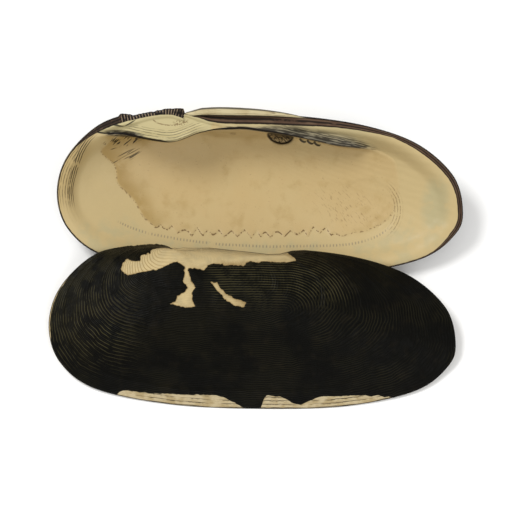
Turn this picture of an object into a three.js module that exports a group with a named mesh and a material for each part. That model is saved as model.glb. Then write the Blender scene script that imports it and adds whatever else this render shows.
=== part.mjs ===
// A freshwater mussel shell, open and apart: the right valve lies on its back and the left valve
// lies dome up, with its hinge edge leaning in over the right valve's lower margin.
// Millimetres, +Z up. The origin is on the resting surface, in the middle of the whole shell.
import * as THREE from "three";
import { mergeVertices } from "three/addons/utils/BufferGeometryUtils.js";

// Margin of a valve, seen square on. Both valves share it. x runs to the hind end, y to the hinge.
const MARGIN = [
  [70, -7.5], [66.5, 4.5], [54, 15.5], [36, 21.8], [12, 25.2], [-12, 26], [-24, 26.3], [-31.5, 28.2],
  [-42, 26.8], [-56, 22], [-67, 11], [-70.5, -2], [-66.5, -14.5], [-54, -23.7], [-28, -29],
  [2, -30.5], [32, -29.6], [56, -24.4], [67.5, -15.8],
];
const CREST = [-15, 9]; // deepest point of the dome, in the same frame
const DEPTH = 18; // from the plane where the valves meet to the outside of the dome
const WALL = 2.4; // thickness of the wall at the deepest point
const EDGE = 0.6; // thickness of the margin
const BEAK = { at: [-33, 19], size: [13, 7], rise: 2.2 }; // swelling of the dome at the beak

// The margin is rolled outward along the hinge and the hind end, and nearly sharp elsewhere.
const SHARP = { width: 0.5, drop: 0.25 };
const ROLLED = { width: 1.7, drop: 1.75 };
const BEAK_ROLL = { width: 0.9, drop: 0.6, x: -35, reach: 10 };

// Hinge: a plate under the hinge margin with its lower edge here, then the teeth on it.
const PLATE = [
  [-60, 20.5], [-54, 18.8], [-47, 18.4], [-41, 17], [-35, 15.9], [-30, 15.7], [-25, 17.6],
  [-18, 19.6], [-4, 20.4], [12, 17.8], [26, 14.6], [40, 12.5],
];
const PLATE_SINK = 0.7; // below the plane where the valves meet
const FRONT_TOOTH = { from: -50, to: -17, above: 1.7, width: 1.2, height: 2.3 };
const LONG_TOOTH = { from: -18, to: 40, above: 0.9, width: 1.0, height: 1.3 };

// The ligament: a strip that tapers to both ends, along the outside of the hinge margin.
const LIGAMENT = { from: -25.5, to: 16.5, width: 3.2, height: 3.2, over: 0.6, level: -0.2 };

// How each valve lies: place of its frame's origin, and the lift of its hinge side in degrees.
// The lowest part of the right valve's dome is worn flat, where it rests.
const RIGHT = { at: [1.66, 23.3, 17], tilt: 24 };
const LEFT = { at: [-1.14, -20.3, 4.147], tilt: 8.5 };

const CELLS = { along: 48, across: 22 };

const curve = new THREE.CatmullRomCurve3(
  MARGIN.map(([x, y]) => new THREE.Vector3(x, y, 0)), true, "catmullrom", 0.5,
);
const outline = curve.getPoints(MARGIN.length * 20).slice(0, -1);

const rays = outline
  .map((p) => ({
    angle: Math.atan2(p.y - CREST[1], p.x - CREST[0]),
    reach: Math.hypot(p.x - CREST[0], p.y - CREST[1]),
  }))
  .sort((a, b) => a.angle - b.angle);

function smooth(from, to, v) {
  return THREE.MathUtils.smoothstep(v, from, to);
}

function hump(v, middle, width) {
  return Math.exp(-(((v - middle) / width) ** 2));
}

// Distance from the crest to the margin, in this direction.
function reachAt(angle) {
  let next = rays.findIndex((ray) => ray.angle > angle);
  if (next < 0) {
    next = 0;
  }
  const b = rays[next];
  const a = rays[(next + rays.length - 1) % rays.length];
  const turn = 2 * Math.PI;
  const span = (b.angle - a.angle + turn) % turn;
  const part = ((angle - a.angle + turn) % turn) / span;
  return a.reach + (b.reach - a.reach) * part;
}

// Distance from a point to the margin.
function inset(x, y) {
  const point = new THREE.Vector3(x, y, 0);
  const nearest = new THREE.Vector3();
  let best = Infinity;
  outline.forEach((start, i) => {
    const side = new THREE.Line3(start, outline[(i + 1) % outline.length]);
    side.closestPointToPoint(point, true, nearest);
    best = Math.min(best, nearest.distanceTo(point));
  });
  return best;
}

function plateLine(x) {
  const next = PLATE.findIndex(([px]) => px > x);
  if (next < 0) {
    return PLATE.at(-1)[1];
  }
  if (next === 0) {
    return PLATE[0][1];
  }
  const [ax, ay] = PLATE[next - 1];
  const [bx, by] = PLATE[next];
  return ay + ((by - ay) * (x - ax)) / (bx - ax);
}

// Width and drop of the rolled margin in this direction from the crest.
function rollAt(x, angle) {
  const hinge = smooth(0.02, 0.3, Math.sin(angle)) * smooth(-70, -52, x);
  const hind = 0.85 * smooth(-0.33, -0.1, Math.sin(angle)) * smooth(30, 60, x);
  const roll = Math.max(hinge, hind);
  const beak = roll * hump(x, BEAK_ROLL.x, BEAK_ROLL.reach);
  return {
    width: SHARP.width + ROLLED.width * roll + BEAK_ROLL.width * beak,
    drop: SHARP.drop + ROLLED.drop * roll + BEAK_ROLL.drop * beak,
  };
}

// Heights of the two faces of a valve that lies open side up, over a point that is this share of
// the way from the crest to the margin.
function faces(x, y, share, angle, side) {
  const margin = share >= 1 ? 0 : inset(x, y);
  const roll = rollAt(x, angle);
  const low = roll.drop + EDGE;
  const upright = smooth(0.1, 0.9, Math.sin(angle));
  const dome = (1 - Math.min(share, 1) ** 2.1) ** (1 - 0.3 * upright);
  const beak = hump(x, BEAK.at[0], BEAK.size[0]) * hump(y, BEAK.at[1], BEAK.size[1]);
  const outer = -(low + (DEPTH - low) * dome) - BEAK.rise * beak * smooth(0, 3, margin);
  if (margin < roll.width) {
    return { outer, inner: -roll.drop * (1 - margin / roll.width) ** 1.4 };
  }
  const bowl = -(DEPTH - WALL) * dome * smooth(0, 7, margin - roll.width);
  return { outer, inner: bowl + hinge(x, y - plateLine(x), bowl, side) };
}

// What the hinge adds to the bowl, at this height above the lower edge of the plate.
function hinge(x, above, bowl, side) {
  const top = -PLATE_SINK - 1.8 * smooth(-10, 40, x);
  const on = smooth(-1.6, 1, above) * smooth(-61, -55, x) * (1 - smooth(24, 44, x));
  const plate = on * (Math.max(bowl, top) - bowl);
  const front = smooth(FRONT_TOOTH.from, -42, x) * (1 - smooth(-26, FRONT_TOOTH.to, x));
  const long = smooth(LONG_TOOTH.from, -8, x) * (1 - smooth(14, LONG_TOOTH.to, x));
  return plate + front * tooth(above, FRONT_TOOTH, side) + long * tooth(above, LONG_TOOTH, side);
}

// The right valve has one ridge. The left valve has a groove for it, between two lower ridges.
function tooth(above, size, side) {
  const ridge = size.height * hump(above, size.above, size.width);
  if (side === "right") {
    return ridge;
  }
  const pair = hump(above, size.above - 1.2, 0.8) + hump(above, size.above + 1.4, 0.8);
  return 0.5 * size.height * pair - 0.4 * ridge;
}

// A slab of square cells becomes a valve: its rings of cells become rings inside the margin.
function valve(side) {
  const slab = new THREE.BoxGeometry(2, 2, 2, CELLS.along, CELLS.across, 1);
  slab.deleteAttribute("normal");
  slab.deleteAttribute("uv");
  const shell = mergeVertices(slab);
  const place = shell.attributes.position;
  const lengthwise = 2.4; // the slab's diagonals run out towards the two ends
  for (let i = 0; i < place.count; i += 1) {
    const u = place.getX(i);
    const v = place.getY(i);
    const share = Math.max(Math.abs(u), Math.abs(v));
    const turn = share === 0 ? 0 : slabTurn(u, v);
    const angle = Math.atan2(Math.sin(turn), Math.cos(turn) * lengthwise);
    const reach = share * reachAt(angle);
    const x = CREST[0] + reach * Math.cos(angle);
    const y = CREST[1] + reach * Math.sin(angle);
    const { inner, outer } = faces(x, y, share, angle, side);
    const upper = place.getZ(i) > 0;
    const z = side === "right" ? (upper ? inner : outer) : (upper ? -outer : -inner);
    place.setXYZ(i, x, y, z);
  }
  return shell;
}

// Direction of a cell's corner once its square ring is a round one.
function slabTurn(u, v) {
  if (Math.abs(u) >= Math.abs(v)) {
    return (Math.PI / 4) * (v / u) + (u < 0 ? Math.PI : 0);
  }
  return Math.PI / 2 - (Math.PI / 4) * (u / v) + (v < 0 ? Math.PI : 0);
}

// Nothing reaches below the surface that the shell lies on.
function standOn(geometry, at, tilt) {
  const pose = new THREE.Matrix4()
    .makeRotationX(THREE.MathUtils.degToRad(tilt))
    .setPosition(...at);
  geometry.applyMatrix4(pose);
  const place = geometry.attributes.position;
  for (let i = 0; i < place.count; i += 1) {
    place.setZ(i, Math.max(place.getZ(i), 0));
  }
  return geometry.applyMatrix4(pose.clone().invert());
}

// Thickest a little in front of its middle, and pointed at both ends.
function ligamentShare(t) {
  return (1 - t * t) * (1 - 0.3 * t);
}

function ligament() {
  const half = (LIGAMENT.to - LIGAMENT.from) / 2;
  const steps = 16;
  const profile = [];
  for (let k = 0; k <= steps; k += 1) {
    const t = -Math.cos((Math.PI * k) / steps);
    const onAxis = k === 0 || k === steps;
    profile.push(new THREE.Vector2(onAxis ? 0 : ligamentShare(t), t * half));
  }
  const strip = new THREE.LatheGeometry(profile, 12);
  strip.rotateZ(-Math.PI / 2);
  strip.deleteAttribute("normal");
  strip.deleteAttribute("uv");
  const body = mergeVertices(strip);
  const place = body.attributes.position;
  for (let i = 0; i < place.count; i += 1) {
    const t = place.getX(i) / half;
    const x = place.getX(i) + (LIGAMENT.from + LIGAMENT.to) / 2;
    const seat = hingeMargin(x) - LIGAMENT.over;
    const y = seat + (LIGAMENT.width / 2) * (ligamentShare(t) + place.getY(i));
    const z = LIGAMENT.level + (LIGAMENT.height / 2) * place.getZ(i);
    place.setXYZ(i, x, y, z);
  }
  return body;
}

// Height of the hinge margin at this x.
function hingeMargin(x) {
  const near = outline.filter((p) => p.y > 0 && Math.abs(p.x - x) < 1);
  return Math.max(...near.map((p) => p.y));
}

function piece(name, geometry, colour, roughness) {
  const material = new THREE.MeshStandardMaterial({ color: colour, roughness, metalness: 0 });
  const mesh = new THREE.Mesh(geometry, material);
  mesh.name = name;
  return mesh;
}

function half({ at, tilt }, ...pieces) {
  const group = new THREE.Group();
  group.position.set(...at);
  group.rotation.x = THREE.MathUtils.degToRad(tilt);
  group.add(...pieces);
  return group;
}

const group = new THREE.Group();
group.add(
  half(
    RIGHT,
    piece("right_valve", standOn(valve("right"), RIGHT.at, RIGHT.tilt), 0xc9b184, 0.35),
    piece("ligament", ligament(), 0xbca97f, 0.6),
  ),
  half(LEFT, piece("left_valve", standOn(valve("left"), LEFT.at, LEFT.tilt), 0x15140d, 0.45)),
);

export default group;
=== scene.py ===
"""Looks of a freshwater mussel shell: two valves and the ligament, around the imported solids.

Lengths in the shape functions are millimetres in a valve's own frame: x runs to the hind end,
y to the hinge, and height is counted from the plane where the two valves meet.
"""
import math

import bpy
import numpy as np
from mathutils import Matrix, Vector, noise


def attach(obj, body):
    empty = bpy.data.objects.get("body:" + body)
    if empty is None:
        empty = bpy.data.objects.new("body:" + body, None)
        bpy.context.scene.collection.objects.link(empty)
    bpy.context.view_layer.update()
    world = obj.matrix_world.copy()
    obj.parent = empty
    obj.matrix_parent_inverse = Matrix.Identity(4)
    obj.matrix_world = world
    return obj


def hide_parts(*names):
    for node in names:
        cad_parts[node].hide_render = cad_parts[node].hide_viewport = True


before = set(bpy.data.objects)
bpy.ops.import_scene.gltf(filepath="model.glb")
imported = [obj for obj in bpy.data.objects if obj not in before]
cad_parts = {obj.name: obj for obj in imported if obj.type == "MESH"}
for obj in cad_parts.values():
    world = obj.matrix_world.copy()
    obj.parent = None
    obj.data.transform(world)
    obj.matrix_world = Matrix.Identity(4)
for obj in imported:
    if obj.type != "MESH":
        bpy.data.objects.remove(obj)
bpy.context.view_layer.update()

MM = 0.001

# ---------------------------------------------------------------- driving dimensions

# Margin of a valve, seen square on. Both valves share it.
MARGIN = [
    (70, -7.5), (66.5, 4.5), (54, 15.5), (36, 21.8), (12, 25.2), (-12, 26), (-24, 26.3), (-31.5, 28.2),
    (-42, 26.8), (-56, 22), (-67, 11), (-70.5, -2), (-66.5, -14.5), (-54, -23.7), (-28, -29),
    (2, -30.5), (32, -29.6), (56, -24.4), (67.5, -15.8),
]
CREST = (-15, 9)  # deepest point of the dome
DEPTH = 18  # from the plane where the valves meet to the outside of the dome
WALL = 2.4  # thickness of the wall at the deepest point
THINNEST = 0.45  # least height between its two faces
EDGE = 0.6  # thickness of the margin
BEAK = {"at": (-33, 19), "size": (13, 7), "rise": 2.2}  # swelling of the dome at the beak
BEAK_TIP = (-30, 24.2)  # where the shell began to grow
RINGS = {"fine": 26, "coarse": 7}  # ridges of growth between the beak and the margin
# Behind the beak the growth lines go round a line that ends here, as ovals of this power.
ARCS = {"to": 11, "up": 2, "stretch": 1.2, "power": 2.2}
LENGTHWISE = 2.4  # how far the slab's diagonals run out towards the two ends

# The margin is rolled outward along the hinge and the hind end, and nearly sharp elsewhere.
SHARP = {"width": 0.6, "drop": 0.25}
ROLLED = {"width": 1.6, "drop": 1.75}
BEAK_ROLL = {"width": 0.2, "drop": 0.6, "x": -35, "reach": 10}
SEAT_ROLL = 1.1  # further width where the ligament lies
LEAST_ROLL = 0.3  # width that the roll never falls below

# How each valve lies, as the solids do.
RIGHT = {"at": (1.66, 23.3, 17), "tilt": 24}
LEFT = {"at": (-1.14, -20.3, 4.147), "tilt": 8.5}

# Lower edge of the hinge plate, then the teeth and the hollows on it.
PLATE = [
    (-60, 20.5), (-55, 18.8), (-47, 18.4), (-41, 17), (-35, 15.9), (-31, 15.5), (-27, 16.6), (-22, 18.8),
    (-16, 20.2), (-6, 20.7), (4, 19.2), (14, 17.3), (26, 14.4), (40, 12.5),
]
PLATE_SINK = 0.7  # below the plane where the valves meet
FRONT_TOOTH = {"from": -50, "to": -17, "above": 1.7, "width": 1.2, "height": 2.3}
LONG_TOOTH = {"from": -18, "to": 40, "above": 0.9, "width": 1.0, "height": 1.3}
CUSP = {"at": (-47.4, 22.5), "size": (4.4, 0.9), "lean": 8}
SOCKET = {"at": (-48, 19.2), "size": (5.8, 0.9), "lean": -2}
PIT = {"at": (6.8, 17.4), "size": (5.0, 3.6), "lean": -13}
NOTCHES = [(14.6, 15.6), (17.2, 15), (19.6, 14.4)]  # three little pits behind the round one
BEAK_STEP = -26.4  # hind end of the beak's raised edge

# How far the right valve's beak edge stands above the even margin at each x.
BEAK_EDGE = [
    (-49.2, 0), (-48.4, 0.8), (-46, 0), (-44, -1), (-41, -1.1), (-36, -1.2), (-33, -0.7), (-30, -0.4),
    (-27.6, 0.4), (-26.6, 0.9), (-26.35, -0.6), (-25, -0.6), (-20, 0),
]
BEAK_EDGE_DEPTH = 2.8  # how far in from the margin it dies out
# How far the left valve's hinge margin is worn down, most where the ligament came away from it.
SEAT = [
    (-52, 0), (-44, 0.7), (-40, 1.4), (-32, 2), (-28, 2.5), (-24, 1.2), (-15, 1), (-7, 1.7), (1, 2.4),
    (5.5, 2.8), (9.5, 2.4), (13.6, 1), (18, 0.4), (28, 0.4), (36, 0.7), (47, 1), (58, 0),
]
SEAT_DEPTH = 8

# The pallial line: the edge of the ground where the animal's mantle was free.
PALLIAL = [
    (-55, 13.5), (-50.8, 7), (-49.6, 0.6), (-44.6, -5), (-42.2, -9), (-40, -12), (-36, -14.4), (-24, -16.4),
    (-6, -17), (12, -16.9), (21, -15.6), (28, -17.3), (36, -15.8), (42, -13.2), (45.5, -10), (47.5, -4),
    (48, 3), (44, 11), (26, 16), (-10, 22), (-40, 20),
]
# The fainter line outside it.
MANTLE_EDGE = [
    (-52, -11), (-48, -13.5), (-40.5, -16.3), (-29, -18.6), (-15, -20.4), (3, -21.2), (24, -20.8),
    (32, -20.2), (40, -18), (45, -14.6), (47, -12),
]
FRONT_SCAR = {"at": (-58.5, 8), "size": (5.2, 7.5), "lean": 12}
HIND_SCAR = {"at": (37, -8), "size": (10.5, 10.5), "lean": 0}

# Where the skin is worn through at the beak of each valve.
WORN = [
    [
        (-45.4, 16.5), (-42.8, 14), (-40.5, 14.6), (-32.5, 16), (-27.9, 17.7), (-25.6, 18.7), (-23.3, 17.1),
        (-22, 16.2), (-16.7, 15.9), (-14.1, 18.1), (-10.6, 18.1), (-9.5, 17.5), (-3.2, 17.5), (-1.7, 18.9),
        (10, 19), (15.2, 19.5), (12.4, 23), (11, 28), (-23.5, 31), (-27, 28), (-29, 25), (-31.9, 24.4),
        (-34.5, 23.8), (-35.1, 22), (-38.2, 21), (-38.5, 19.1), (-41.7, 19.5), (-43.4, 20.5),
    ],
    [
        (-23.2, 18.6), (-23.2, 16.8), (-23.6, 11.6), (-22.4, 9.6), (-23.6, 7.8), (-25.9, 6.8), (-26.2, 5),
        (-27.9, 4.2), (-23.9, 3.1), (-19, 2.8), (-20.4, 5.2), (-20.7, 7.5), (-19.6, 9.6), (-20.7, 12.2),
        (-22, 15.6), (-21, 18.6),
    ],
    [
        (-14.4, 11.6), (-12.6, 9.4), (-9.6, 5.8), (-6.6, 3.8), (-3.2, 3), (-2, 4.6), (-6.6, 6.1), (-9.4, 8),
        (-11.2, 9.8), (-12.2, 11.4),
    ],
]

# Width of the peeled strip along the lower margin at each x, with two lobes of skin left on it.
PEELED = [
    (-48, -1), (-45, 2), (-26, 3.5), (-14, 4.2), (-9, 3.2), (-5, 1.2), (-1.5, -0.6), (2.8, -0.5), (4.2, 4.5),
    (10, 3.9), (13.5, 1.9), (16, 1.2), (18.5, 1.9), (23, 3.9), (36, 3), (44, 1.6), (51, -1),
]

ALONG, ACROSS = 320, 150  # cells of a valve
RIM_ROWS = 4  # rows of cells between its two faces
# The ligament: a strip along the outside of the right valve's hinge margin.
LIGAMENT = {"from": -26.2, "to": 16.5, "width": 3.2, "height": 3.2, "over": 0.6, "level": -0.2}

# ---------------------------------------------------------------- curves and noise


def closed_curve(points, steps):
    """Points on a smooth closed curve through the given ones."""
    p = np.array(points, float)
    t = (np.arange(steps) / steps)[:, None]
    pieces = []
    for i in range(len(p)):
        a, b, c, d = (p[(i + k) % len(p)] for k in (-1, 0, 1, 2))
        pieces.append(0.5 * (
            2 * b + (c - a) * t + (2 * a - 5 * b + 4 * c - d) * t**2 + (3 * b - a - 3 * c + d) * t**3
        ))
    return np.concatenate(pieces)


OUTLINE = closed_curve(MARGIN, 20)


def smooth(start, end, v):
    t = np.clip((v - start) / (end - start), 0, 1)
    return t * t * (3 - 2 * t)


def hump(v, middle, width):
    return np.exp(-(((v - middle) / width) ** 2))


def rounded(x, points, over):
    """Height at x of a line through these points, with its corners rounded off."""
    px, py = np.array(points, float).T
    return np.mean([np.interp(x + over * k, px, py) for k in np.linspace(-1, 1, 9)], axis=0)


def spot(x, y, at, size, lean=0):
    """A soft round or oval spot, turned by lean degrees."""
    c, s = math.cos(math.radians(lean)), math.sin(math.radians(lean))
    dx, dy = x - at[0], y - at[1]
    return np.exp(-(((dx * c + dy * s) / size[0]) ** 2) - (((dy * c - dx * s) / size[1]) ** 2))


def reach(angle, centre):
    """Distance from centre to the margin in each direction."""
    d = OUTLINE - centre
    turn = np.arctan2(d[:, 1], d[:, 0])
    order = np.argsort(turn)
    return np.interp(angle, turn[order], np.hypot(d[:, 0], d[:, 1])[order], period=2 * math.pi)


def near_path(x, y, path):
    """Distance to a closed path, and how far along it the nearest place is."""
    ends = np.roll(path, -1, 0)
    best = np.full(x.shape, 1e9)
    where = np.zeros(x.shape)
    start = 0.0
    for a, b in zip(path, ends):
        e = b - a
        length = math.hypot(*e)
        t = np.clip(((x - a[0]) * e[0] + (y - a[1]) * e[1]) / length**2, 0, 1)
        d = np.hypot(x - a[0] - t * e[0], y - a[1] - t * e[1])
        closer = d < best
        best = np.where(closer, d, best)
        where = np.where(closer, start + t * length, where)
        start += length
    return best, where


def inside_path(x, y, path):
    """Distance to a closed path, positive inside it."""
    ends = np.roll(path, -1, 0)
    crossed = np.zeros(x.shape, bool)
    for (ax, ay), (bx, by) in zip(path, ends):
        if ay != by:
            hit = ((ay > y) != (by > y)) & (x < ax + (bx - ax) * (y - ay) / (by - ay))
            crossed ^= hit
    return np.where(crossed, 1, -1) * near_path(x, y, path)[0]


def grain(x, y, size, octaves=3, layer=0.0):
    """Smooth noise, about -1 to 1, with patches of this size."""
    return np.array([
        noise.fractal(Vector((a / size, b / size, layer)), 1.0, 2.0, octaves) for a, b in zip(x, y)
    ])


# ---------------------------------------------------------------- shape of a valve


class Ground:
    """Where the points of one face of a valve are, counted in the ways that the shell grew."""

    def __init__(self, x, y):
        self.x, self.y = x, y
        self.angle = np.arctan2(y - CREST[1], x - CREST[0])
        self.share = np.hypot(x - CREST[0], y - CREST[1]) / reach(self.angle, CREST)
        self.margin, self.along = near_path(x, y, OUTLINE)
        self.fan = np.arctan2(y - BEAK_TIP[1], x - BEAK_TIP[0])
        self.room = reach(self.fan, BEAK_TIP)
        self.growth = np.hypot(x - BEAK_TIP[0], y - BEAK_TIP[1]) / self.room
        beyond = np.maximum(x - ARCS["to"], 0) / ARCS["stretch"]
        power = ARCS["power"]
        self.young = (beyond**power + np.abs(y - ARCS["up"]) ** power) ** (1 / power)
        self.above = y - rounded(x, PLATE, 2.2)
        self.pallial = inside_path(x, y, closed_curve(PALLIAL, 6))
        self.mantle = y - rounded(x, MANTLE_EDGE, 3)
        self.roll()
        upright = smooth(0.1, 0.9, np.sin(self.angle))
        self.dome = (1 - np.minimum(self.share, 1) ** 2.1) ** (1 - 0.3 * upright)
        self.hinge = smooth(-61, -55, x) * (1 - smooth(24, 44, x))

    def roll(self):
        """Width and drop of the rolled margin, which begins anew behind the beak."""
        x, turn = self.x, np.sin(self.angle)
        hinge = smooth(0.02, 0.3, turn) * smooth(-70, -52, x)
        hind = 0.85 * smooth(-0.33, -0.1, turn) * smooth(30, 60, x)
        roll = np.maximum(hinge, hind)
        beak = roll * hump(x, BEAK_ROLL["x"], BEAK_ROLL["reach"])
        wedge = np.where((x > BEAK_STEP) & (self.y > 0), smooth(BEAK_STEP - 1, -17, x), 1)
        broad = roll * smooth(-22, -12, x) * (1 - smooth(8, 30, x))
        low_hind = 0.8 * smooth(-0.42, -0.25, turn) * smooth(30, 60, x)
        wide = np.maximum(roll, low_hind)
        width = SHARP["width"] + ROLLED["width"] * wide + BEAK_ROLL["width"] * beak + SEAT_ROLL * broad
        self.roll_width = np.maximum(width * wedge, LEAST_ROLL)
        self.roll_drop = SHARP["drop"] + ROLLED["drop"] * roll + BEAK_ROLL["drop"] * beak


def growth_rings(g, layer):
    """Ridges of the outer face where growth paused, crowded together towards the margin."""
    uneven = 0.02 * grain(g.x, g.y, 18, 2, layer) + 0.004 * grain(g.x, g.y, 3, 2, layer + 1)
    age = (g.growth + uneven) ** 1.35
    fine = np.sin(2 * math.pi * RINGS["fine"] * age)
    coarse = np.sin(2 * math.pi * RINGS["coarse"] * age + 1.3)
    clear = smooth(9, 22, g.room) * smooth(0.12, 0.3, g.growth)
    return clear * (0.09 * fine * (0.6 + 0.4 * coarse) + 0.16 * np.maximum(coarse, 0) ** 3)


def worn_depth(g, layer):
    """How far inside a worn patch each point is, negative on sound skin."""
    deep = np.max([inside_path(g.x, g.y, np.array(p, float)) for p in WORN], axis=0)
    return deep + 0.45 * grain(g.x, g.y, 2.6, 3, layer) + 0.25 * grain(g.x, g.y, 0.9, 2, layer + 2)


def flaked_depth(g, layer):
    """How far inside the peeled strips along the lower and the front margin each point is."""
    width = rounded(g.x, PEELED, 0.8) + 0.35 * grain(g.x, g.y, 2.2, 3, layer + 3)
    lower = np.where(np.sin(g.angle) < -0.1, width - g.margin, -3)
    front = 0.75 * smooth(-57, -64, g.x) * smooth(-12, -4, g.y) * (1 - smooth(12, 20, g.y)) - 0.2
    return np.maximum(lower, front + 0.15 * grain(g.x, g.y, 2, 2, layer + 6) - g.margin)


def outer_face(g, layer):
    """Height of the outer face, and its markings."""
    low = g.roll_drop + EDGE
    height = -(low + (DEPTH - low) * g.dome)
    height -= BEAK["rise"] * spot(g.x, g.y, BEAK["at"], BEAK["size"]) * smooth(0, 3, g.margin)
    worn, flaked = worn_depth(g, layer), flaked_depth(g, layer)
    pitted = 0.12 * smooth(0.2, 0.8, grain(g.x, g.y, 2.4, 3, layer + 7)) * smooth(0.2, 1.2, worn)
    lost = 0.34 * smooth(-0.15, 0.25, worn) + 0.24 * smooth(-0.1, 0.3, flaked) + pitted
    skin = 1 - smooth(-0.1, 0.3, np.maximum(worn, flaked))
    rough = 0.10 * grain(g.x, g.y, 6, 3, layer + 4) + 0.04 * grain(g.x, g.y, 1.4, 2, layer + 5)
    relief = growth_rings(g, layer) * (0.35 + 0.65 * skin) + rough
    near = smooth(0, 1.2, g.margin)
    return height - near * relief + near * lost, {"worn": worn, "flaked": flaked}


def inner_face(g, side, layer):
    """Height of the inner face, and its markings."""
    bowl = -(DEPTH - WALL) * g.dome * smooth(0, 7, g.margin - g.roll_width)
    top = -PLATE_SINK - 1.8 * smooth(-10, 40, g.x)
    plate = smooth(-1.0, 0.7, g.above) * g.hinge
    bowl += plate * (np.maximum(bowl, top) - bowl)
    bowl += teeth(g, side, layer)
    free = 1 - smooth(-0.5, 1.5, g.above) * g.hinge
    disc = g.pallial + pallial_teeth(g, layer)
    bowl += free * (0.25 * smooth(-0.25, 0.25, disc) - 0.12 * hump(disc, 0, 0.35))
    front, hind = (spot(g.x, g.y, **scar) for scar in (FRONT_SCAR, HIND_SCAR))
    hind_pit = smooth(0.36, 0.44, hind)
    bowl -= free * (0.16 * smooth(0.2, 0.75, front) + 0.18 * hind_pit)
    bowl -= 0.03 * hind_pit * np.sin(2 * math.pi * np.hypot(g.x - 28, g.y - 3) / 1.9)
    bowl += free * (0.16 * grain(g.x, g.y, 11, 2, layer + 6) + 0.03 * grain(g.x, g.y, 2.2, 3, layer + 8))
    fan = np.sin(g.fan * 210 + 2 * grain(g.x, g.y, 8, 2, 5)) * smooth(22, 45, g.room * g.growth)
    bowl += free * 0.025 * fan * smooth(-20, 10, g.x)
    front_folds = np.sin(2 * math.pi * (g.margin + 0.3 * grain(g.x, g.y, 6, 2, 9)) / 1.15)
    bowl += 0.07 * front_folds * smooth(-58, -64, g.x) * smooth(6.5, 4.5, g.margin)
    lip = -g.roll_drop * np.clip(1 - g.margin / g.roll_width, 0, 1) ** 1.4
    on_roll = g.roll_width - g.margin + 0.10 * grain(g.x, g.y, 1.6, 2, 4)
    height = np.where(g.margin < g.roll_width, lip, bowl)
    return height, {"disc": disc, "rolled": on_roll, "lip": g.margin / g.roll_width}


def pallial_teeth(g, layer):
    """The small uneven teeth of the pallial line along the lower side."""
    saw = np.abs(((g.x / 4.1 + 0.3 * grain(g.x, 0 * g.y, 9, 2, layer)) % 1) - 0.5) * 4 - 1
    tall = 1.05 + 1.2 * grain(g.x, 0 * g.y, 5, 2, layer + 2)
    lower = smooth(-4, -12, g.y) * smooth(-40, -32, g.x) * (1 - smooth(22, 29, g.x))
    return saw * tall * lower + 0.25 * grain(g.x, g.y, 5, 2, layer)


def teeth(g, side, layer):
    """A ribbed blade, a small cusp and its socket in front, and a long low ridge and pits behind."""
    front = smooth(FRONT_TOOTH["from"], -42, g.x) * (1 - smooth(-26, FRONT_TOOTH["to"], g.x))
    long = smooth(LONG_TOOTH["from"], -8, g.x) * (1 - smooth(14, LONG_TOOTH["to"], g.x))
    ribs = 0.34 * np.sin(2 * math.pi * (g.above + 0.2 * grain(g.x, g.y, 5, 2, layer)) / 1.05)
    rise = front * (ridge(g.above, FRONT_TOOTH, side) + ribs * hump(g.above, 1.9, 2.0))
    rise += long * ridge(g.above, LONG_TOOTH, side)
    cusp, socket = (spot(g.x, g.y, **mark) for mark in (CUSP, SOCKET))
    rise += (1.5 * cusp - 2.0 * socket) * (1 if side == "right" else -0.6)
    rise -= 1.6 * smooth(0.3, 0.6, spot(g.x, g.y, **PIT)) * smooth(0.6, -0.4, g.above)
    for place in NOTCHES:
        rise -= 0.7 * spot(g.x, g.y, place, (1.1, 0.5), -40)
    return np.where(g.margin > g.roll_width, rise, 0)


def ridge(above, size, side):
    """The right valve has one ridge. The left valve has a groove for it between two lower ones."""
    single = size["height"] * hump(above, size["above"], size["width"])
    if side == "right":
        return single
    pair = hump(above, size["above"] - 1.2, 0.8) + hump(above, size["above"] + 1.4, 0.8)
    return 0.5 * size["height"] * pair - 0.4 * single


# ---------------------------------------------------------------- making the pieces


def only(piece):
    bpy.ops.object.select_all(action="DESELECT")
    piece.select_set(True)
    bpy.context.view_layer.objects.active = piece


def slab(name):
    """A closed slab of square cells, two faces and a rim of a few rows."""
    bpy.ops.object.select_all(action="DESELECT")
    bpy.ops.mesh.primitive_grid_add(x_subdivisions=ALONG, y_subdivisions=ACROSS, size=2)
    piece = bpy.context.object
    piece.name = piece.data.name = name
    bpy.ops.object.mode_set(mode="EDIT")
    bpy.ops.mesh.select_all(action="SELECT")
    for _ in range(RIM_ROWS):
        bpy.ops.mesh.extrude_region_move(TRANSFORM_OT_translate={"value": (0, 0, -1 / RIM_ROWS)})
    bpy.ops.mesh.select_all(action="SELECT")
    bpy.ops.mesh.normals_make_consistent(inside=False)
    bpy.ops.object.mode_set(mode="OBJECT")
    return piece


def corners(piece):
    flat = np.empty(len(piece.data.vertices) * 3)
    piece.data.vertices.foreach_get("co", flat)
    return flat.reshape(-1, 3)


def put(piece, places):
    piece.data.vertices.foreach_set("co", places.ravel())
    piece.data.update()


def note(piece, name, values):
    """Keeps a value for each vertex, for the material to read."""
    kept = piece.data.attributes.new(name, "FLOAT", "POINT")
    kept.data.foreach_set("value", np.asarray(values, np.float32))


def lay(places, how):
    """From a valve's frame in millimetres to where it lies, in metres."""
    tilt = math.radians(how["tilt"])
    x, y, z = places.T
    c, s = math.cos(tilt), math.sin(tilt)
    turned = np.stack([x, y * c - z * s, y * s + z * c], 1)
    turned += how["at"]
    turned[:, 2] = np.maximum(turned[:, 2], 0)
    return turned * MM


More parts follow.
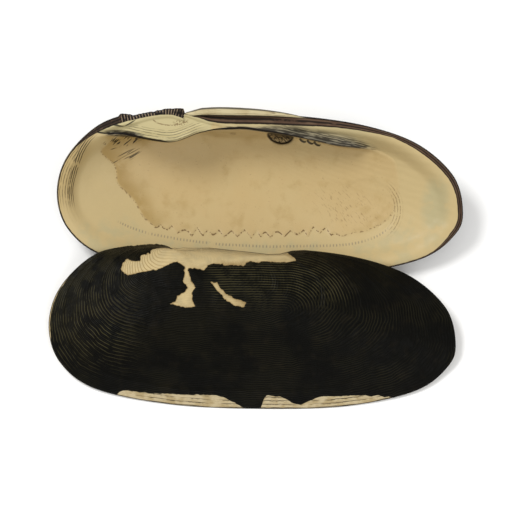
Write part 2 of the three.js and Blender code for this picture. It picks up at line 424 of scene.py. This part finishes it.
def hinge_edge(x, angle, inset, side, layer):
    """How far the hinge margin stands above the even one, jagged along the beak."""
    beak = smooth(-49, -46, x) * (1 - smooth(BEAK_STEP - 0.2, BEAK_STEP + 0.2, x))
    jag = 0.3 * grain(x, 0 * x, 1.3, 3, layer) * beak
    if side == "right":
        rise = np.interp(x, *np.array(BEAK_EDGE).T)
        depth = BEAK_EDGE_DEPTH
    else:
        rise = -np.interp(x, *np.array(SEAT).T)
        depth = SEAT_DEPTH
    return (rise + jag) * smooth(0.2, 0.5, np.sin(angle)) * smooth(depth, 0, inset)


def valve(name, side, how, layer, materials):
    """A slab whose square rings of cells become rings inside the margin."""
    piece = slab(name)
    u, v, z = corners(piece).T
    down = -z
    share = np.maximum(np.abs(u), np.abs(v))
    with np.errstate(all="ignore"):
        turn = np.where(
            np.abs(u) >= np.abs(v),
            math.pi / 4 * v / u + np.where(u < 0, math.pi, 0),
            math.pi / 2 - math.pi / 4 * u / v + np.where(v < 0, math.pi, 0),
        )
    turn = np.where(share == 0, 0, turn)
    angle = np.arctan2(np.sin(turn), np.cos(turn) * LENGTHWISE)
    full = reach(angle, CREST)
    bulge = np.where(share > 0.9999, np.sqrt(np.clip(1 - (2 * down - 1) ** 2, 0, 1)), 0)
    out = share * (full - EDGE / 2) + bulge * EDGE / 2
    x, y = CREST[0] + out * np.cos(angle), CREST[1] + out * np.sin(angle)
    g = Ground(x, y)
    inner, inner_marks = inner_face(g, side, layer)
    outer, outer_marks = outer_face(g, layer)
    outer = np.minimum(outer, inner - THINNEST)
    height = inner + (outer - inner) * down if side == "right" else -outer + (outer - inner) * down
    y = y + hinge_edge(x, angle, full - out, side, layer + 9)
    put(piece, lay(np.stack([x, y, height], 1), how))
    kept = ("margin", "along", "growth", "young", "room", "above", "mantle")
    marks = {key: getattr(g, key) for key in kept}
    for key, values in {**marks, "across": x, "up": y, **inner_marks, **outer_marks}.items():
        note(piece, key, values)
    line_with(piece, down if side == "right" else 1 - down, materials)
    return piece


def line_with(piece, depth, materials):
    """The first material goes on the open face, where depth is 0, and the second on the rest."""
    for material in materials:
        piece.data.materials.append(material)
    for face in piece.data.polygons:
        face.material_index = int(max(depth[i] for i in face.vertices) > 0.01)


def ligament(name, how, material):
    """A horny strip along the hinge margin, blunt in front and drawn out behind, in long fibres."""
    bpy.ops.object.select_all(action="DESELECT")
    bpy.ops.mesh.primitive_uv_sphere_add(segments=72, ring_count=180, radius=1)
    piece = bpy.context.object
    piece.name = piece.data.name = name
    piece.data.materials.append(material)
    a, b, c = corners(piece).T
    t = 0.5 + np.arcsin(np.clip(c, -1, 1)) / math.pi
    turn = np.arctan2(b, a)
    x = LIGAMENT["from"] + (LIGAMENT["to"] - LIGAMENT["from"]) * t
    thick = np.clip(t, 0, 1) ** 0.42 * np.clip(1 - t, 0, 1) ** 0.85 / 0.49
    fibre = 1 + 0.035 * np.sin(turn * 12 + 1.2 * grain(x, turn, 9, 2, 22))
    fibre += 0.03 * grain(x / 6, turn * 2, 0.5, 2, 23)
    edge = OUTLINE[OUTLINE[:, 1] > 15]
    order = np.argsort(edge[:, 0])
    seat = np.interp(x, edge[order, 0], edge[order, 1]) - 0.6 * (1 - smooth(-25, -20, x))
    y = seat - LIGAMENT["over"] + LIGAMENT["width"] / 2 * thick * (1 + fibre * np.cos(turn))
    rise = np.sin(turn)
    level = LIGAMENT["level"] - 1.6 * (1 - np.clip(thick, 0, 1))
    z = level + LIGAMENT["height"] / 2 * thick * fibre * np.where(rise < 0, 1.6 * rise, rise)
    put(piece, lay(np.stack([x, y, z], 1), how))
    note(piece, "lengthwise", x)
    note(piece, "turn", np.abs(turn))
    note(piece, "thick", thick)
    return piece


# ---------------------------------------------------------------- materials


class Paint:
    """A material's node tree, written as sums of marks kept on the piece and of noise."""

    def __init__(self, name):
        self.material = bpy.data.materials.new(name)
        self.material.use_nodes = True
        self.tree = self.material.node_tree
        self.shader = self.tree.nodes["Principled BSDF"]
        self.place = self.add("ShaderNodeTexCoord").outputs["Object"]
        self.marks = {}

    def add(self, kind, **settings):
        node = self.tree.nodes.new(kind)
        for key, value in settings.items():
            setattr(node, key, value)
        return node

    def feed(self, socket, value):
        if isinstance(value, bpy.types.NodeSocket):
            self.tree.links.new(value, socket)
        elif isinstance(value, tuple) and socket.type == "RGBA":
            socket.default_value = (*value, 1)
        else:
            socket.default_value = value

    def mark(self, name):
        """A value kept on the piece's vertices."""
        if name not in self.marks:
            self.marks[name] = self.add("ShaderNodeAttribute", attribute_name=name).outputs["Fac"]
        return self.marks[name]

    def sum(self, operation, *values):
        node = self.add("ShaderNodeMath", operation=operation)
        for socket, value in zip(node.inputs, values):
            self.feed(socket, value)
        return node.outputs[0]

    def all_of(self, first, *others):
        for other in others:
            first = self.sum("MULTIPLY", first, other)
        return first

    def any_of(self, first, *others):
        for other in others:
            first = self.sum("MAXIMUM", first, other)
        return first

    def fade(self, value, start, end):
        """0 at start to 1 at end, clamped and eased."""
        node = self.add("ShaderNodeMapRange", interpolation_type="SMOOTHSTEP")
        for socket, given in zip(node.inputs, (value, min(start, end), max(start, end))):
            self.feed(socket, given)
        out = node.outputs[0]
        return out if end > start else self.sum("SUBTRACT", 1.0, out)

    def near(self, value, middle, width):
        """1 at middle, falling to 0 at this distance from it."""
        off = self.sum("ABSOLUTE", self.sum("SUBTRACT", value, middle))
        return self.fade(off, width, width * 0.35)

    def between(self, value, start, end, soft):
        """1 from start to end, with soft steps at both."""
        begun = self.fade(value, start - soft, start + soft)
        return self.all_of(begun, self.fade(value, end + soft, end - soft))

    def distance(self, at):
        """Distance from this place in the valve's flat frame."""
        offset = self.add("ShaderNodeCombineXYZ")
        self.feed(offset.inputs[0], self.sum("SUBTRACT", self.mark("across"), at[0]))
        self.feed(offset.inputs[1], self.sum("SUBTRACT", self.mark("up"), at[1]))
        length = self.add("ShaderNodeVectorMath", operation="LENGTH")
        self.feed(length.inputs[0], offset.outputs[0])
        return length.outputs["Value"]

    def oval(self, at, size, lean=0, edge=0.35):
        """1 inside an oval in the valve's flat frame, fading out at its edge."""
        c, s = math.cos(math.radians(lean)), math.sin(math.radians(lean))
        dx = self.sum("SUBTRACT", self.mark("across"), at[0])
        dy = self.sum("SUBTRACT", self.mark("up"), at[1])
        long = self.sum("ADD", self.all_of(dx, c / size[0]), self.all_of(dy, s / size[0]))
        wide = self.sum("SUBTRACT", self.all_of(dy, c / size[1]), self.all_of(dx, s / size[1]))
        return self.fade(self.sum("ADD", self.all_of(long, long), self.all_of(wide, wide)), 1.0, edge)

    def strokes(self, lean, length, apart, amount=0.5, shift=0.0):
        """Short strokes of a fine brush in the valve's flat frame, leaning this many degrees."""
        flat = self.add("ShaderNodeCombineXYZ")
        self.feed(flat.inputs[0], self.mark("across"))
        self.feed(flat.inputs[1], self.mark("up"))
        turned = self.add("ShaderNodeMapping", vector_type="TEXTURE")
        self.feed(turned.inputs["Vector"], flat.outputs[0])
        turned.inputs["Location"].default_value = (shift, shift, 0)
        turned.inputs["Rotation"].default_value = (0, 0, math.radians(lean))
        turned.inputs["Scale"].default_value = (length, apart, 1)
        node = self.add("ShaderNodeTexNoise")
        self.feed(node.inputs["Vector"], turned.outputs[0])
        node.inputs["Scale"].default_value = 1
        node.inputs["Detail"].default_value = 1
        limit = 0.68 - 0.3 * amount
        return self.fade(node.outputs["Fac"], limit, limit + 0.05)

    def noise(self, size_mm, detail=3, rough=0.55, stretch=None):
        vector = self.place
        if stretch:
            mapping = self.add("ShaderNodeMapping")
            self.feed(mapping.inputs["Vector"], vector)
            mapping.inputs["Scale"].default_value = stretch
            vector = mapping.outputs[0]
        node = self.add("ShaderNodeTexNoise")
        self.feed(node.inputs["Vector"], vector)
        node.inputs["Scale"].default_value = 1 / (size_mm * MM)
        node.inputs["Detail"].default_value = detail
        node.inputs["Roughness"].default_value = rough
        return node.outputs["Fac"]

    def shifted(self, value, noise, amount):
        """The value, moved to and fro by noise."""
        return self.sum("MULTIPLY_ADD", self.sum("SUBTRACT", noise, 0.5), 2 * amount, value)

    def blend(self, share, a, b):
        node = self.add("ShaderNodeMix", data_type="RGBA")
        for socket, value in ((node.inputs["Factor"], share), (node.inputs[6], a), (node.inputs[7], b)):
            self.feed(socket, value)
        return node.outputs[2]

    def tint(self, colour, share, other, strength=1.0):
        """The colour, with another laid over it where share is 1."""
        return self.blend(self.all_of(share, strength), colour, other)

    def number(self, share, a, b):
        node = self.add("ShaderNodeMix", data_type="FLOAT")
        for socket, value in ((node.inputs["Factor"], share), (node.inputs[2], a), (node.inputs[3], b)):
            self.feed(socket, value)
        return node.outputs[0]

    def wave(self, value, per):
        """A sine of the value with this period, from 0 to 1."""
        turned = self.sum("SINE", self.all_of(value, 2 * math.pi / per))
        return self.sum("MULTIPLY_ADD", turned, 0.5, 0.5)

    def finish(self, colour, roughness, relief, depth_mm, gloss):
        node = self.add("ShaderNodeBump")
        node.inputs["Distance"].default_value = depth_mm * MM
        self.feed(node.inputs["Height"], relief)
        self.feed(self.shader.inputs["Normal"], node.outputs[0])
        self.feed(self.shader.inputs["Base Color"], colour)
        self.feed(self.shader.inputs["Roughness"], roughness)
        self.shader.inputs["Specular IOR Level"].default_value = gloss
        return self.material


CREAM = (0.455, 0.350, 0.172)
TAN = (0.445, 0.325, 0.152)
OCHRE = (0.30, 0.195, 0.060)
SEA_TINT = (0.335, 0.315, 0.185)
PLATE_CREAM_AND_HIGHLIGHT = (0.45, 0.395, 0.215)
# Grey for a faint line, and for painted shade.
SHADE_GREY = (0.085, 0.086, 0.080)
UMBER = (0.13, 0.075, 0.028)
# Near black for drawn lines, and for painted shade and painted shadow.
DARK_LINES_AND_PAINTED_SHADE = (0.006, 0.004, 0.003)
BAND_BROWN = (0.072, 0.040, 0.024)
BAND_LIGHT = (0.11, 0.068, 0.040)
HATCH_TAN = (0.26, 0.19, 0.12)
SKIN_BLACK = (0.0018, 0.0017, 0.0010)
SKIN_BROWN = (0.0045, 0.0036, 0.0019)
OLIVE_LINE = (0.050, 0.043, 0.018)
CHALK = (0.475, 0.370, 0.190)
CHALK_SHADE = (0.42, 0.335, 0.18)
# Stains and growth lines on the chalk, and painted shade round the worn patches.
CHALK_STAIN_AND_SHADE = (0.25, 0.17, 0.07)
PEELED_PALE = (0.50, 0.41, 0.25)
PEELED_TAN = (0.38, 0.29, 0.15)
HORN_PALE = (0.47, 0.40, 0.23)
HORN_TAN = (0.40, 0.325, 0.175)
BOARD = (0.90, 0.895, 0.88)
BOARD_LIGHT = (0.92, 0.915, 0.90)


def lining_ground(p):
    """Cream around the pallial line, tan inside it, clouded with ochre and sea green; painted shade inside
    the front margin.
    """
    disc, across, up, margin = p.mark("disc"), p.mark("across"), p.mark("up"), p.mark("margin")
    cloud, mottle = p.noise(22, 3), p.noise(6, 4)
    colour = p.blend(p.fade(disc, -1.0, 1.0), CREAM, TAN)
    colour = p.tint(colour, p.fade(cloud, 0.42, 0.68), CREAM, 0.5)
    colour = p.tint(colour, p.all_of(p.fade(mottle, 0.5, 0.75), p.fade(disc, -2, 2)), OCHRE, 0.35)
    inner_front = p.all_of(p.fade(disc, -0.4, 0.6), p.fade(disc, 8, 1), p.fade(across, -28, -42))
    colour = p.tint(colour, p.all_of(inner_front, p.fade(mottle, 0.2, 0.5)), OCHRE, 0.75)
    # Painted shade: ochre darkening along the inside of the front margin, where its hollow falls in shade.
    front = p.all_of(p.fade(across, -56, -61), p.fade(margin, 7.5, 4.5), p.fade(up, -14, 2))
    colour = p.tint(colour, front, OCHRE, 0.4)
    hind = p.all_of(p.oval((60.5, -7), (6, 15), -4, 0.1), p.fade(mottle, 0.3, 0.55))
    low = p.all_of(p.fade(disc, -2, -5), p.fade(up, -8, -15), p.fade(mottle, 0.42, 0.62))
    return p.tint(colour, p.any_of(hind, p.all_of(low, 0.7)), SEA_TINT, 0.55)


def mantle_marks(p, colour):
    """The pallial line in fine dots, the fainter line outside it, and the lines of the hind scar."""
    disc, across, up, along = p.mark("disc"), p.mark("across"), p.mark("up"), p.mark("along")
    free = p.fade(p.mark("above"), 0.0, -1.0)
    grains, breaks = p.noise(0.75, 2), p.noise(3.2, 2)
    lower = p.all_of(p.fade(up, -10, -14), p.fade(across, 32, 24), p.fade(across, -40, -36))
    dots = p.fade(p.sum("ADD", grains, p.all_of(lower, 0.06)), 0.53, 0.58)
    seen = p.any_of(p.all_of(p.fade(across, -38, -44), p.fade(up, 13.5, 11)), p.fade(up, -3, -8))
    line = p.all_of(p.near(disc, 0.0, 0.42), dots, seen, free)
    colour = p.tint(colour, line, UMBER, p.number(lower, 0.6, 0.9))
    dashes = p.fade(p.wave(p.shifted(along, breaks, 0.3), 1.2), 0.5, 0.9)
    dashes = p.all_of(dashes, p.fade(breaks, 0.3, 0.46))
    outer = p.all_of(p.near(p.mark("mantle"), 0.0, 0.6), dashes, p.between(across, -49.5, 44, 1.5))
    colour = p.tint(colour, outer, SHADE_GREY, 0.5)
    out = p.distance(HIND_SCAR["at"])
    arcs = p.fade(p.wave(p.shifted(out, breaks, 0.3), 0.95), 0.7, 0.95)
    arcs = p.all_of(arcs, p.between(out, 9.4, 12.4, 0.5), p.fade(across, 43, 47), p.fade(grains, 0.36, 0.5))
    colour = p.tint(colour, arcs, UMBER, 0.6)
    stipple = p.all_of(p.strokes(-52, 2.2, 0.5, 0.2), p.oval((30, -8), (15, 9), -20, 0.1))
    specks = p.all_of(p.fade(p.noise(0.55, 1), 0.66, 0.72), p.fade(disc, -1, 2), p.fade(breaks, 0.5, 0.65))
    return p.tint(colour, p.any_of(stipple, specks), UMBER, 0.35)


def plate_marks(p, colour, fine, breaks):
    """The pale plate, partly a painted highlight; the front tooth's ribs; the cusp's lines; painted shade in
    its socket.
    """
    above, across, up = p.mark("above"), p.mark("across"), p.mark("up")
    # Painted highlight: the plate is laid paler where its bulge catches the light, over a paler colour of
    # its own.
    on_plate = p.all_of(p.fade(above, -0.1, 0.5), p.between(across, -57, -17, 1))
    colour = p.tint(colour, on_plate, PLATE_CREAM_AND_HIGHLIGHT, 0.8)
    behind = p.all_of(p.fade(above, 0.0, 1.0), p.fade(across, -20, -10), p.fade(across, 46, 30))
    colour = p.tint(colour, behind, SEA_TINT, 0.35)
    ribs = p.fade(p.wave(p.shifted(above, breaks, 0.25), 0.8), 0.35, 0.08)
    ribbed = p.all_of(p.between(above, 0.5, 4.6, 0.5), p.between(across, -46, -21, 2))
    colour = p.tint(colour, p.all_of(ribs, ribbed, p.fade(breaks, 0.3, 0.48)), DARK_LINES_AND_PAINTED_SHADE, 0.6)
    # Painted shade: grey and dark hatched strokes in the socket below the cusp, where the hollow lies in
    # shade.
    colour = p.tint(colour, p.oval((-47.5, 19.1), (8.4, 1.7), -4, 0.1), SHADE_GREY, 0.56)
    socket = p.all_of(p.oval((-47.5, 18.9), (8.4, 1.6), -4, 0.35), p.strokes(8, 3.5, 0.45, 0.8))
    cusp_line = p.any_of(p.oval((-49.4, 22.2), (3.0, 0.42), -12), p.oval((-45.0, 22.9), (2.6, 0.30), 30))
    colour = p.tint(colour, p.any_of(cusp_line, socket), DARK_LINES_AND_PAINTED_SHADE, 0.85)
    beyond = p.fade(p.oval((-31, 24.9), (6.3, 2.7), 0, 0.9), 1, 0)
    rim = p.all_of(p.oval((-31, 24.6), (6.6, 2.8), 0, 0.9), beyond)
    rim = p.all_of(rim, p.fade(up, 24.2, 23.8), p.fade(fine, 0.42, 0.5))
    stain = p.all_of(p.oval((-27.6, 22.7), (3.4, 1.5), 0, 0.1), p.fade(fine, 0.5, 0.58))
    return p.tint(colour, p.any_of(stain, rim), UMBER, 0.7)


def long_tooth_marks(p, colour, fine, breaks):
    """Painted shade on the long tooth and in the pits below it, and a painted shadow line along the lower
    edge of the whole plate.
    """
    above, across = p.mark("above"), p.mark("across")
    # Painted shade: soft grey and dark hatched strokes along the long tooth, where the hinge throws shade.
    tall = p.number(p.between(across, 4, 36, 9), 1.3, 4.2)
    height = p.sum("DIVIDE", above, tall)
    soft_shade = p.all_of(p.fade(height, 1.4, 0.2), p.fade(above, -0.3, 0.3), p.between(across, -11, 36, 5))
    colour = p.tint(colour, soft_shade, SHADE_GREY, 0.8)
    shade = p.all_of(p.fade(height, 1.3, 0.6), p.fade(above, 0.0, 0.4), p.between(across, -14, 39, 3))
    colour = p.tint(colour, p.all_of(shade, p.strokes(-13, 5, 0.38, 0.8)), DARK_LINES_AND_PAINTED_SHADE, 0.8)
    colour = pit_painted_shade(p, colour)
    # Painted shadow: a dark line along the plate's lower edge, where it overhangs the bowl.
    front_rise = p.number(p.between(across, -47, -32, 3), 0.7, 1.35)
    hind_rise = p.number(p.fade(across, 8, 30), p.all_of(p.fade(across, -18, -10), 0.3), -0.75)
    line = p.sum("SUBTRACT", p.shifted(above, breaks, 0.12), p.sum("ADD", front_rise, hind_rise))
    plate_edge_shadow = p.all_of(p.fade(line, 0.1, -0.05), p.fade(above, 0.1, 0.35))
    colour = p.tint(colour, p.all_of(plate_edge_shadow, p.fade(across, -58, -56), p.fade(across, 33, 24)), DARK_LINES_AND_PAINTED_SHADE)
    speck = p.all_of(p.oval((-9.6, 18.3), (1.5, 0.9), 10, 0.2), p.fade(fine, 0.4, 0.55))
    return p.tint(colour, speck, UMBER, 0.7)


def pit_painted_shade(p, colour):
    """Painted shade: the round pit darkened and crossed with lines, and a dark crescent in each notch, lit
    side left pale.
    """
    above = p.mark("above")
    pit = p.all_of(p.oval(**PIT, edge=0.75), p.fade(above, 0.15, -0.15))
    colour = p.tint(colour, pit, UMBER, 0.5)
    within = p.oval(PIT["at"], (PIT["size"][0] * 0.84, PIT["size"][1] * 0.84), PIT["lean"], 0.75)
    crossed = p.any_of(p.strokes(-55, 2.4, 0.5, 0.6), p.strokes(40, 2.0, 0.5, 0.4, 5))
    pit_lines = p.any_of(crossed, p.fade(above, -2.6, -0.4), p.fade(within, 1, 0))
    colour = p.tint(colour, p.all_of(pit, pit_lines), DARK_LINES_AND_PAINTED_SHADE, 0.95)
    for x, y in NOTCHES:
        lit = p.oval((x + 0.3, y + 0.4), (1.1, 0.55), -35, 0.5)
        notch = p.all_of(p.oval((x, y + 0.1), (1.5, 0.9), -35, 0.7), p.fade(lit, 1, 0))
        colour = p.tint(colour, p.all_of(notch, p.fade(above, 0.1, -0.2)), DARK_LINES_AND_PAINTED_SHADE, 0.9)
    return colour


def painted_cavity_shade(p, colour):
    """Painted shade: ochre and short dark strokes in the deep of the beak below the plate, and curved lines
    inside the front margin.
    """
    across, up, margin, above = p.mark("across"), p.mark("up"), p.mark("margin"), p.mark("above")
    breaks = p.noise(3.4, 2)
    # Painted shade: ochre below the front of the plate, and dark hatched strokes in the hollow beneath it.
    below = p.all_of(p.fade(above, -5.5, -0.4), p.between(across, -54, -39, 2), p.fade(above, 0.0, -0.5))
    colour = p.tint(colour, p.all_of(below, p.fade(breaks, 0.3, 0.6)), OCHRE, 0.6)
    groups = (
        (p.strokes(42, 4.0, 0.6, 0.42), p.oval((-48.5, 16), (6.5, 2.6), 4, 0.6), 0.95),
        (p.strokes(19, 12, 0.45, 0.5, 3), p.oval((-46, 15), (7, 1.1), 19, 0.6), 0.8),
        (p.strokes(28, 7, 0.48, 0.5, 9), p.oval((-46.5, 10.2), (6.2, 1.9), 26, 0.55), 0.75),
    )
    for strokes, patch, strength in groups:
        colour = p.tint(colour, p.all_of(strokes, patch), DARK_LINES_AND_PAINTED_SHADE, strength)
    # Painted shade of the hollow inside the front margin, drawn as fine curved lines and a darker bunch of
    # them.
    bunch = p.sum("SUBTRACT", margin, p.number(p.fade(up, 20, 4), 1.6, 4.7))
    in_front = p.all_of(p.fade(across, -55, -58), p.between(up, -5, 18, 3))
    thin = p.all_of(p.fade(p.wave(p.shifted(margin, breaks, 0.3), 0.9), 0.7, 0.95), p.fade(bunch, 0.2, -0.6))
    thin = p.all_of(thin, in_front, p.fade(breaks, 0.36, 0.52))
    colour = p.tint(colour, thin, DARK_LINES_AND_PAINTED_SHADE, 0.6)
    dark = p.all_of(p.fade(p.wave(p.shifted(bunch, breaks, 0.25), 0.62), 0.45, 0.8), p.near(bunch, 0, 1.5))
    dark = p.all_of(dark, in_front, p.fade(breaks, 0.28, 0.44))
    return p.tint(colour, dark, DARK_LINES_AND_PAINTED_SHADE, 0.9)


def margin_band(p, colour):
    """The skin rolled over the margin: lines along it, and hatched across where it meets the beak."""
    across, lip, along = p.mark("across"), p.mark("lip"), p.mark("along")
    fine, breaks = p.noise(0.8, 3), p.noise(4, 2)
    middle = p.all_of(p.near(p.shifted(lip, breaks, 0.1), 0.5, 0.17), p.fade(breaks, 0.3, 0.44))
    grooves = p.any_of(p.near(lip, 0.04, 0.24), p.near(lip, 0.94, 0.2), middle)
    band = p.blend(p.fade(breaks, 0.3, 0.7), BAND_BROWN, BAND_LIGHT)
    band = p.tint(band, grooves, DARK_LINES_AND_PAINTED_SHADE, 0.9)
    hatch = p.fade(p.wave(p.shifted(along, fine, 0.2), 1.05), 0.72, 0.97)
    strip = p.blend(p.all_of(hatch, p.fade(breaks, 0.34, 0.5)), DARK_LINES_AND_PAINTED_SHADE, HATCH_TAN)
    upper = p.fade(p.mark("up"), 12, 16)
    beak = p.all_of(upper, p.fade(across, -48.6, -48), p.fade(across, BEAK_STEP + 0.2, BEAK_STEP - 0.2))
    front = p.all_of(p.fade(across, -48, -49), p.fade(fine, 0.75, 0.5))
    band = p.tint(band, front, DARK_LINES_AND_PAINTED_SHADE, 0.75)
    rolled = p.fade(p.mark("rolled"), -0.1, 0.1)
    return p.blend(rolled, colour, p.blend(beak, band, strip)), rolled


def lining(name):
    """The pearly inside of a valve, aged to cream, with its scars and lines, and painted shade in its
    hollows and along its teeth.
    """
    p = Paint(name)
    colour = lining_ground(p)
    colour = mantle_marks(p, colour)
    colour = painted_cavity_shade(p, colour)
    hair, breaks = p.noise(0.6, 2), p.noise(3.0, 2)
    colour = plate_marks(p, colour, hair, breaks)
    colour = long_tooth_marks(p, colour, hair, breaks)
    colour, rolled = margin_band(p, colour)
    mottle, fine = p.noise(5, 4), p.noise(0.8, 3)
    roughness = p.number(rolled, p.number(p.fade(mottle, 0.35, 0.7), 0.36, 0.5), 0.8)
    relief = p.sum("ADD", p.all_of(fine, 0.3), p.all_of(p.wave(p.mark("lip"), 0.42), rolled))
    return p.finish(colour, roughness, relief, 0.08, gloss=0.15)


def skin_colour(p):
    """Near black, with olive growth lines that show best in front and behind the beak."""
    growth, across, young, room = p.mark("growth"), p.mark("across"), p.mark("young"), p.mark("room")
    up, cloud, streaks = p.mark("up"), p.noise(14, 3), p.noise(4, 3)
    drift = p.noise(9, 2)
    grown = p.shifted(growth, drift, 0.02)
    lines = p.fade(p.wave(grown, 0.0215), 0.72, 1.0)
    threads = p.fade(p.wave(grown, 0.0105), 0.6, 1.0)
    front = p.all_of(p.fade(across, -32, -52), p.fade(room, 8, 20), p.fade(up, -24, -6))
    around = p.fade(p.wave(p.shifted(young, drift, 0.4), 0.86), 0.7, 1.0)
    lengthwise = p.all_of(p.fade(across, -18, -12), p.fade(across, 46, 28))
    dorsal = p.all_of(p.fade(young, 24, 16), p.fade(up, -1, 12), lengthwise)
    seen = p.fade(streaks, 0.36, 0.56)
    in_front = p.all_of(lines, front, seen, 0.7)
    behind = p.all_of(around, dorsal, p.number(seen, 0.25, 0.9))
    elsewhere = p.all_of(threads, p.fade(cloud, 0.4, 0.64), p.fade(room, 10, 26), 0.2)
    marks = p.any_of(in_front, behind, elsewhere)
    colour = p.blend(p.fade(streaks, 0.5, 0.75), SKIN_BLACK, SKIN_BROWN)
    return p.tint(colour, marks, OLIVE_LINE), grown


def skin(name):
    """The outside of a valve: dark skin, worn through to chalk at the beak and peeled along the edge."""
    p = Paint(name)
    colour, grown = skin_colour(p)
    worn, flaked, across = p.mark("worn"), p.mark("flaked"), p.mark("across")
    cloud, mottle, fine = p.noise(12, 3), p.noise(3, 4), p.noise(0.7, 3)
    lines = p.fade(p.wave(grown, 0.021), 0.72, 0.95)
    chalk = p.blend(p.fade(mottle, 0.4, 0.7), CHALK, CHALK_SHADE)
    stained = p.all_of(p.fade(worn, 2.2, 0.2), p.fade(cloud, 0.36, 0.6), p.fade(across, -32, -5))
    chalk = p.tint(chalk, stained, CHALK_STAIN_AND_SHADE, 0.85)
    chalk = p.tint(chalk, p.all_of(lines, p.fade(across, -22, -38)), CHALK_STAIN_AND_SHADE, 0.8)
    # Painted shade: a darker rim along the edge of each worn patch, where its step falls in shade.
    chalk = p.tint(chalk, p.near(worn, 0.05, 0.28), CHALK_STAIN_AND_SHADE, 0.7)
    chalk = p.tint(chalk, p.fade(p.mark("margin"), 0.5, 0.25), DARK_LINES_AND_PAINTED_SHADE, 0.85)
    pale = p.blend(p.fade(mottle, 0.4, 0.65), PEELED_PALE, PEELED_TAN)
    edge_lines = p.fade(p.wave(p.shifted(p.mark("margin"), mottle, 0.5), 1.15), 0.8, 0.97)
    pale = p.tint(pale, p.all_of(edge_lines, p.fade(cloud, 0.4, 0.56)), DARK_LINES_AND_PAINTED_SHADE, 0.85)
    pale = p.tint(pale, p.fade(p.mark("margin"), 0.35, 0.15), DARK_LINES_AND_PAINTED_SHADE, 0.8)
    bare, peeled = p.fade(worn, -0.06, 0.1), p.fade(flaked, -0.05, 0.12)
    colour = p.blend(peeled, p.blend(bare, colour, chalk), pale)
    off = p.any_of(bare, peeled)
    roughness = p.number(off, p.number(p.fade(mottle, 0.35, 0.7), 0.38, 0.55), 0.75)
    rings = p.all_of(p.wave(grown, 0.0105), p.fade(p.mark("room"), 10, 24))
    return p.finish(colour, roughness, p.sum("ADD", rings, p.all_of(fine, 0.6)), 0.07, gloss=0.05)


def horn(name):
    """The dry ligament: pale horn in long fibres, with painted shade along its edges and at its tips."""
    p = Paint(name)
    long, turn, thick = p.mark("lengthwise"), p.mark("turn"), p.mark("thick")
    streak, cloud = p.noise(0.55, 3, stretch=(0.07, 1, 1)), p.noise(5, 3)
    colour = p.blend(p.fade(cloud, 0.4, 0.66), HORN_PALE, HORN_TAN)
    colour = p.tint(colour, p.fade(streak, 0.58, 0.66), UMBER, 0.6)
    # Painted shade: dark along its rounded sides, where it meets the valve, and at its sunk tips.
    rim = p.any_of(p.fade(turn, 1.0, 0.7), p.fade(turn, 2.3, 2.55), p.fade(thick, 0.3, 0.1))
    colour = p.tint(colour, rim, DARK_LINES_AND_PAINTED_SHADE, 0.85)
    return p.finish(colour, p.number(p.fade(streak, 0.3, 0.7), 0.45, 0.65), streak, 0.2, gloss=0.35)


# ---------------------------------------------------------------- the three pieces


def place_piece(piece, node):
    only(piece)
    bpy.ops.object.shade_smooth()
    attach(piece, "root")
    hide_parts(node)


pearl, dark_skin = lining("aged_pearl"), skin("dark_skin")
right_shell = valve("right_valve_shell", "right", RIGHT, 0.0, (pearl, dark_skin))
place_piece(right_shell, "right_valve")
left_shell = valve("left_valve_shell", "left", LEFT, 40.0, (pearl, dark_skin))
place_piece(left_shell, "left_valve")
place_piece(ligament("ligament_strip", RIGHT, horn("dry_horn")), "ligament")

# ---------------------------------------------------------------- floor, light and camera


def floor():
    bpy.ops.object.select_all(action="DESELECT")
    bpy.ops.mesh.primitive_plane_add(size=6)
    ground = bpy.context.object
    ground.name = "floor"
    p = Paint("white_board")
    p.feed(p.shader.inputs["Base Color"], p.blend(p.noise(30, 2), BOARD, BOARD_LIGHT))
    p.shader.inputs["Roughness"].default_value = 0.9
    p.shader.inputs["Specular IOR Level"].default_value = 0.1
    ground.data.materials.append(p.material)


def lamp(name, place, size, power):
    """A round lamp that faces the origin."""
    data = bpy.data.lights.new(name, "AREA")
    data.shape, data.size, data.energy = "DISK", size, power
    light = bpy.data.objects.new(name, data)
    bpy.context.scene.collection.objects.link(light)
    light.location = place
    light.rotation_euler = (-Vector(place)).to_track_quat("-Z", "Y").to_euler()


def camera(aim, elevation, width, lens=200):
    """Looks along +Y and down, with a view this wide at the aim."""
    data = bpy.data.cameras.new("camera")
    data.lens, data.sensor_width = lens, 36
    away = width / 2 / math.tan(math.atan(data.sensor_width / 2 / lens))
    e = math.radians(elevation)
    back = Vector((0, -math.cos(e), math.sin(e)))
    seen = bpy.data.objects.new("camera", data)
    bpy.context.scene.collection.objects.link(seen)
    seen.location = Vector(aim) + back * away
    seen.rotation_euler = (-back).to_track_quat("-Z", "Y").to_euler()
    data.clip_start, data.clip_end = 0.01, 20
    bpy.context.scene.camera = seen


floor()
lamp("key", (-0.5, 0.3, 0.85), size=0.4, power=7)
lamp("fill", (0.5, -0.6, 0.8), size=0.9, power=4)
world = bpy.data.worlds.new("studio")
bpy.context.scene.world = world
world.use_nodes = True
world.node_tree.nodes["Background"].inputs["Color"].default_value = (1, 1, 1, 1)
world.node_tree.nodes["Background"].inputs["Strength"].default_value = 0.68
bpy.context.scene.view_settings.view_transform = "Standard"
camera((0, 0.0007, 0.012), elevation=75, width=0.1766)
